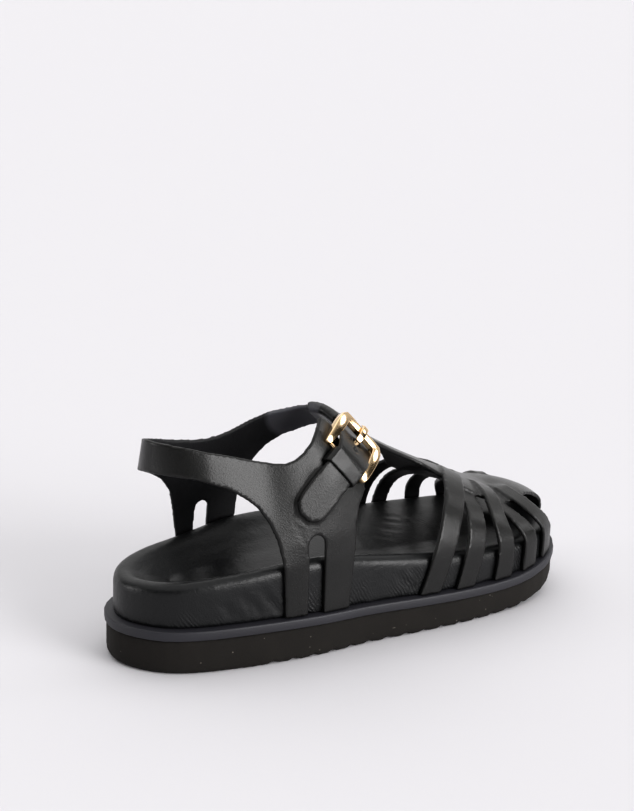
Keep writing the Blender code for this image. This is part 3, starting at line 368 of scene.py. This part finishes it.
# The strap fills the buckle from cheek to cheek, so its two edges are eased out there, by up to 2.5 mm a side.
FRAME_ACROSS = Vector((0.598, -0.287, -0.749)).normalized()
FRAME_ALONG = Vector((0.750, 0.529, 0.397))
FRAME_ALONG = (FRAME_ALONG - FRAME_ACROSS * FRAME_ALONG.dot(FRAME_ACROSS)).normalized()
FRAME_OUT = FRAME_ACROSS.cross(FRAME_ALONG)
FRAME_OUT = FRAME_OUT if FRAME_OUT.y < 0 else -FRAME_OUT
FRAME_CENTRE = Vector((-0.0158, -0.0292, 0.1003))
EASE_FROM, EASE_TO = -17.0, 13.0  # mm along the strap
EASE_HALF_WIDTH, EASE_HALF_DEPTH = 12.0, 7.0  # mm
EASE = 0.28  # share of the half width
for vertex in upper.data.vertices:
    off = (vertex.co - FRAME_CENTRE) * 1000
    along, across, out = off.dot(FRAME_ALONG), off.dot(FRAME_ACROSS), off.dot(FRAME_OUT)
    if EASE_FROM < along < EASE_TO and abs(across) < EASE_HALF_WIDTH and abs(out) < EASE_HALF_DEPTH:
        swell = math.sin(math.pi * (along - EASE_FROM) / (EASE_TO - EASE_FROM))
        vertex.co += FRAME_ACROSS * (across / 1000 * EASE * swell)

# The flesh side is the side that faces the foot: towards the shoe's middle line, and forward at the heel.
HEEL_CENTRE, FOOT_HEIGHT = -0.085, 0.055
FLESH_CUT = 4  # how sharply the flesh side ends at a cut edge
flesh = upper.data.attributes.new("flesh_side", "FLOAT", "POINT")
for vertex, mark in zip(upper.data.vertices, flesh.data):
    x, y, z = vertex.co
    inward = Vector((max(HEEL_CENTRE - x, 0), -y, min(FOOT_HEIGHT - z, 0) if x > 0 else 0)).normalized()
    mark.value = min(max(vertex.normal.dot(inward) * FLESH_CUT, 0), 1)

bridle, bridle_out, bridle_place = new_material("bridle_leather_waxed")
# The grain is drawn at 0.8 mm, coarser than the real one, so that it shows.
bridle_grain = add_node(
    bridle, "ShaderNodeTexNoise", {"Scale": 1200.0, "Detail": 3.0, "Roughness": 0.65}, Vector=bridle_place
)
bridle_cloud = add_node(bridle, "ShaderNodeTexNoise", {"Scale": 45.0, "Detail": 5.0}, Vector=bridle_place)
bridle_flesh = add_node(bridle, "ShaderNodeAttribute", {"attribute_name": "flesh_side"})
bridle_nap = add_node(bridle, "ShaderNodeTexNoise", {"Scale": 520.0, "Detail": 6.0}, Vector=bridle_place)
bridle_colour = add_node(
    bridle, "ShaderNodeMix", {"data_type": "RGBA", 6: linear("#0D0D0C"), 7: linear("#151514")},
    _0=bridle_cloud.outputs["Fac"]
)
bridle_suede = add_node(
    bridle, "ShaderNodeMix", {"data_type": "RGBA", 6: linear("#0A0A0B"), 7: linear("#1E1E21")},
    _0=bridle_nap.outputs["Fac"]
)
bridle_both = add_node(
    bridle, "ShaderNodeMix", {"data_type": "RGBA"},
    _0=bridle_flesh.outputs["Fac"], _6=bridle_colour.outputs[2], _7=bridle_suede.outputs[2]
)
# The flesh side inside the loop that the ankle strap runs through is painted a paler lilac grey, in a round
# patch.
LOOP_PALE_PATCH = (-0.018, 0.013, 0.104)
bridle_from_loop = add_node(
    bridle, "ShaderNodeVectorMath", {"operation": "DISTANCE", 1: LOOP_PALE_PATCH}, _0=bridle_place
)
bridle_patch = add_node(
    bridle, "ShaderNodeMapRange", {"From Min": 0.020, "From Max": 0.017, "To Min": 0.0, "To Max": 0.9},
    Value=bridle_from_loop.outputs["Value"]
)
bridle_pale_flesh = add_node(
    bridle, "ShaderNodeMath", {"operation": "MULTIPLY"},
    _0=bridle_patch.outputs[0], _1=bridle_flesh.outputs["Fac"]
)
bridle_all = add_node(
    bridle, "ShaderNodeMix", {"data_type": "RGBA", 7: linear("#55555A")},
    _0=bridle_pale_flesh.outputs[0], _6=bridle_both.outputs[2]
)
# The spare hole in the strap is painted near black inside, down to its rim: painted shade in the hole.
SPARE_HOLE = (-0.0192, -0.0334, 0.0990)
bridle_from_hole = add_node(
    bridle, "ShaderNodeVectorMath", {"operation": "DISTANCE", 1: SPARE_HOLE}, _0=bridle_place
)
bridle_hole_shade = add_node(
    bridle, "ShaderNodeMapRange", {"From Min": 0.0012, "From Max": 0.0008, "To Min": 0.0, "To Max": 1.0},
    Value=bridle_from_hole.outputs["Value"]
)
bridle_hole_shaded = add_node(
    bridle, "ShaderNodeMix", {"data_type": "RGBA", 7: linear("#020202")},
    _0=bridle_hole_shade.outputs[0], _6=bridle_all.outputs[2]
)
# The waxed grain is glossy in clouds; the flesh side is evenly dull.
bridle_gloss = add_node(
    bridle, "ShaderNodeMapRange", {"To Min": 0.28, "To Max": 0.37}, Value=bridle_cloud.outputs["Fac"]
)
bridle_dull = add_node(
    bridle, "ShaderNodeMix", {"data_type": "FLOAT", 3: 0.62},
    _0=bridle_flesh.outputs["Fac"], _2=bridle_gloss.outputs[0]
)
bridle_bump = add_node(
    bridle, "ShaderNodeBump", {"Strength": 0.55, "Distance": 0.0002}, Height=bridle_grain.outputs["Fac"]
)
bridle_shader = add_node(
    bridle, "ShaderNodeBsdfPrincipled", {"Specular IOR Level": 0.38},
    Base_Color=bridle_hole_shaded.outputs[2], Roughness=bridle_dull.outputs[0], Normal=bridle_bump.outputs[0]
)
bridle.node_tree.links.new(bridle_shader.outputs[0], bridle_out.inputs["Surface"])
upper.data.materials.clear()
upper.data.materials.append(bridle)
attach(upper, "root")
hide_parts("upper")


# Buckle.
# A cast brass frame of two broad flared cheeks and a square outer bar, with a thin hinge pin that the strap is
# folded round and a flat prong on the pin. Frame and prong are polished and plated in pale gold.

# Half of the frame, from the cheek's hinge end to the middle of the outer bar, in mm.
CHEEK_ROWS = (
    # along, across, turn in degrees, half width, half thickness, out
    (-14.0, 13.3, 0, 1.5, 1.3, -2.0),
    (-12.0, 13.3, 0, 1.9, 1.8, -1.5),
    (-8.0, 13.1, 0, 2.2, 2.1, -0.9),
    (-3.0, 12.8, 0, 2.6, 2.2, -0.35),
    (2.0, 12.5, 0, 2.8, 2.1, 0.0),
    (5.0, 12.2, 20, 2.9, 2.0, 0.0),
    (7.0, 11.0, 55, 2.8, 1.9, 0.0),
    (7.6, 9.0, 90, 2.2, 1.7, 0.0),
    (7.6, 4.0, 90, 2.1, 1.7, 0.0),
)


def in_frame(along, across, out):
    """A point of the buckle's own frame, in metres, from mm along, across and out of it."""
    return FRAME_CENTRE + (FRAME_ALONG * along + FRAME_ACROSS * across + FRAME_OUT * out) / 1000


def forged(name, rows, corners=4):
    """A bar drawn out by extruding its end section from row to row: centre, two half axes of each section."""
    bpy.ops.object.select_all(action="DESELECT")
    bpy.ops.mesh.primitive_circle_add(vertices=corners, radius=1.0, fill_type="NGON")
    bar = bpy.context.active_object
    bar.name = bar.data.name = name
    bpy.ops.object.mode_set(mode="EDIT")
    square = corners == 4
    diagonal = Matrix.Rotation(math.radians(45 if square else 0), 4, "Z")
    spread = math.sqrt(2) if square else 1.0
    before = Matrix.Identity(4)
    for step, (centre, wide, thick) in enumerate(rows):
        if step:
            bpy.ops.mesh.extrude_region()
        axes = Matrix((wide * spread, thick * spread, wide.cross(thick).normalized())).transposed().to_4x4()
        after = Matrix.Translation(centre) @ axes @ diagonal
        shape = bmesh.from_edit_mesh(bar.data)
        for vertex in shape.verts:
            if vertex.select:
                vertex.co = after @ (before.inverted() @ vertex.co)
        bmesh.update_edit_mesh(bar.data)
        before = after
    bpy.ops.mesh.select_all(action="SELECT")
    bpy.ops.mesh.normals_make_consistent(inside=False)
    bpy.ops.object.mode_set(mode="OBJECT")
    return bar


def rounded_edges(piece, width):
    """Rounds the sharp edges of a cast piece and shades it as one polished skin."""
    edge = piece.modifiers.new("polished_edges", "BEVEL")
    edge.width = width
    edge.segments = 3
    edge.limit_method = "ANGLE"
    edge.angle_limit = math.radians(40)
    bpy.ops.object.modifier_apply(modifier=edge.name)
    bpy.ops.object.shade_smooth_by_angle(angle=math.radians(50))


def cheek_section(row, side):
    """The centre and half axes of one row of the cheek table, on the frame's right (1) or left (-1) half."""
    along, across, turn, half_width, half_thick, out = row
    lean = math.radians(turn)
    wide = FRAME_ACROSS * (side * math.cos(lean)) + FRAME_ALONG * math.sin(lean)
    return in_frame(along, across * side, out), wide * (half_width / 1000), FRAME_OUT * (half_thick / 1000)


# The bar runs from the right cheek's end round the outer bar to the left cheek's end.
right_half = [cheek_section(row, 1) for row in CHEEK_ROWS]
left_half = [cheek_section(row, -1) for row in reversed(CHEEK_ROWS)]
frame_bar = forged("brass_buckle_frame", right_half + left_half)
rounded_edges(frame_bar, width=0.00045)

PIN_ALONG, PIN_OUT, PIN_STOPS = -12.6, -1.6, (13.0, 6.0, 0.0, -6.0, -13.0)  # mm in the frame
PIN_RADIUS = 0.0009
pin = forged("hinge_pin", [
    (in_frame(PIN_ALONG, across, PIN_OUT), FRAME_ALONG * PIN_RADIUS, FRAME_OUT * PIN_RADIUS)
    for across in PIN_STOPS
], corners=16)
bpy.ops.object.shade_smooth()
bpy.ops.object.select_all(action="DESELECT")
pin.select_set(True)
frame_bar.select_set(True)
bpy.context.view_layer.objects.active = frame_bar
bpy.ops.object.join()

# The prong's blade lies flat over the outer bar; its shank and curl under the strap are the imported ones.
BLADE_ROWS = (
    # along, out, half width, half thickness
    (0.4, 1.0, 1.5, 0.6),
    (2.6, 2.1, 1.75, 0.7),
    (4.6, 2.7, 1.8, 0.75),
    (9.4, 2.8, 1.75, 0.75),
    (10.6, 2.4, 1.3, 0.6),
)
prong = refined("buckle_prong", "brass_buckle_prong", voxel=0.0003, rounds=3)
blade = forged("prong_blade", [
    (in_frame(along, 0.0, out), FRAME_ACROSS * (half_width / 1000), FRAME_OUT * (half_thick / 1000))
    for along, out, half_width, half_thick in BLADE_ROWS
])
rounded_edges(blade, width=0.0003)
bpy.ops.object.select_all(action="DESELECT")
blade.select_set(True)
prong.select_set(True)
bpy.context.view_layer.objects.active = prong
bpy.ops.object.join()

# The plating mirrors the room, a little unevenly where it is handled.
brass, brass_out, brass_place = new_material("gold_plated_brass_polished")
brass_wear = add_node(brass, "ShaderNodeTexNoise", {"Scale": 300.0, "Detail": 3.0}, Vector=brass_place)
brass_gloss = add_node(
    brass, "ShaderNodeMapRange", {"To Min": 0.08, "To Max": 0.20}, Value=brass_wear.outputs["Fac"]
)
brass_bump = add_node(
    brass, "ShaderNodeBump", {"Strength": 0.04, "Distance": 0.0002}, Height=brass_wear.outputs["Fac"]
)
brass_shader = add_node(
    brass, "ShaderNodeBsdfPrincipled", {"Metallic": 1.0, "Base Color": linear("#F0D2A8")},
    Roughness=brass_gloss.outputs[0], Normal=brass_bump.outputs[0]
)
brass.node_tree.links.new(brass_shader.outputs[0], brass_out.inputs["Surface"])
for metal, node in ((frame_bar, "buckle_frame"), (prong, "buckle_prong")):
    metal.data.materials.clear()
    metal.data.materials.append(brass)
    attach(metal, "root")
    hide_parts(node)


# Keeper.
# A narrow loop of the same waxed leather as the upper, bent round the strap and its tail and closed behind them.
# Its tight fit holds it in place.
keeper = refined("strap_keeper", "leather_keeper", voxel=0.0004, rounds=3, ironing=20)
keeper.data.materials.clear()
keeper.data.materials.append(bridle)
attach(keeper, "root")
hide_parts("strap_keeper")


# Floor and light.
# A pale seamless sweep lit from above and behind, a tall soft box in front to the right, a smaller one behind
# the heel, a strip beside the toe, and a dark room on the photographer's side, which the black leather mirrors.
# The paper is a light grey that this light brings up to white.
bpy.ops.object.select_all(action="DESELECT")
bpy.ops.mesh.primitive_plane_add(size=80.0, location=(0, 0, 0))
floor = bpy.context.active_object
floor.name = "studio_floor"
paper, paper_out, paper_place = new_material("matt_white_paper")
paper_fibre = add_node(paper, "ShaderNodeTexNoise", {"Scale": 700.0, "Detail": 2.0}, Vector=paper_place)
paper_bump = add_node(
    paper, "ShaderNodeBump", {"Strength": 0.02, "Distance": 0.0002}, Height=paper_fibre.outputs["Fac"]
)
paper_shader = add_node(
    paper, "ShaderNodeBsdfPrincipled",
    {"Base Color": linear("#D4D3D6"), "Roughness": 0.9, "Specular IOR Level": 0.1},
    Normal=paper_bump.outputs[0]
)
paper.node_tree.links.new(paper_shader.outputs[0], paper_out.inputs["Surface"])
floor.data.materials.append(paper)

# The way to the middle of each light, the cosine at its faded edge and at its full inside, and its strength.
# They are the ceiling, the far end of the sweep, the two soft boxes, the strip and the pale skirting low down.
ROOM_LIGHTS = (
    # way x, way y, way z, edge, inside, strength
    (0.0, 0.0, 1.0, 0.35, 0.80, 1.04),
    (0.50, 0.86, 0.08, 0.15, 0.75, 0.66),
    (0.36, -0.89, 0.27, 0.93, 0.975, 9.5),
    (-0.91, 0.38, 0.17, 0.975, 0.99, 5.5),
    (0.90, -0.19, 0.39, 0.992, 0.996, 5.5),
    (0.0, 0.0, 1.0, 0.13, 0.07, 0.72),
)
ROOM_GLOW = 0.02
world = bpy.data.worlds.new("studio_room")
bpy.context.scene.world = world
world.use_nodes = True
room = world.node_tree
room.nodes.clear()
room_way = room.nodes.new("ShaderNodeTexCoord")
room_glow = room.nodes.new("ShaderNodeBackground")
room_glow.inputs["Color"].default_value = linear("#FBFAFA")
room_out = room.nodes.new("ShaderNodeOutputWorld")
room.links.new(room_glow.outputs[0], room_out.inputs["Surface"])
room_level = None
for *way, edge, inside, strength in ROOM_LIGHTS:
    side = room.nodes.new("ShaderNodeVectorMath")
    side.operation = "DOT_PRODUCT"
    side.inputs[1].default_value = Vector(way).normalized()
    span = room.nodes.new("ShaderNodeMapRange")
    span.interpolation_type = "SMOOTHSTEP"
    for name, value in (("From Min", edge), ("From Max", inside), ("To Max", strength)):
        span.inputs[name].default_value = value
    room.links.new(room_way.outputs["Generated"], side.inputs[0])
    room.links.new(side.outputs["Value"], span.inputs["Value"])
    add = room.nodes.new("ShaderNodeMath")
    add.inputs[1].default_value = ROOM_GLOW
    room.links.new(span.outputs[0], add.inputs[0])
    if room_level is not None:
        room.links.new(room_level, add.inputs[1])
    room_level = add.outputs[0]
room.links.new(room_level, room_glow.inputs["Strength"])


# Camera.
# The photo was taken from behind the heel on the outer side, a little above the shoe, with the frame rolled
# slightly. Its blacks are deep, so the view has more contrast than plain sRGB.
CAMERA_EYE = Vector((-0.48216, -0.63862, 0.32334))
CAMERA_RIGHT = Vector((0.81387, -0.58018, 0.03178))
CAMERA_UP = Vector((0.12485, 0.22803, 0.96562))
FOCAL_LENGTH = 72.64  # mm on a 36 mm sensor along the frame's longer side
camera_data = bpy.data.cameras.new("photo_camera")
camera_data.lens = FOCAL_LENGTH
camera_data.sensor_width = 36.0
camera_data.clip_start = 0.01
camera_data.clip_end = 200.0
camera = bpy.data.objects.new("photo_camera", camera_data)
bpy.context.scene.collection.objects.link(camera)
right = CAMERA_RIGHT.normalized()
up = (CAMERA_UP - CAMERA_UP.dot(right) * right).normalized()
back = right.cross(up)
camera.matrix_world = Matrix.Translation(CAMERA_EYE) @ Matrix((right, up, back)).transposed().to_4x4()
bpy.context.scene.camera = camera
bpy.context.scene.view_settings.view_transform = "Standard"
bpy.context.scene.view_settings.look = "Medium High Contrast"
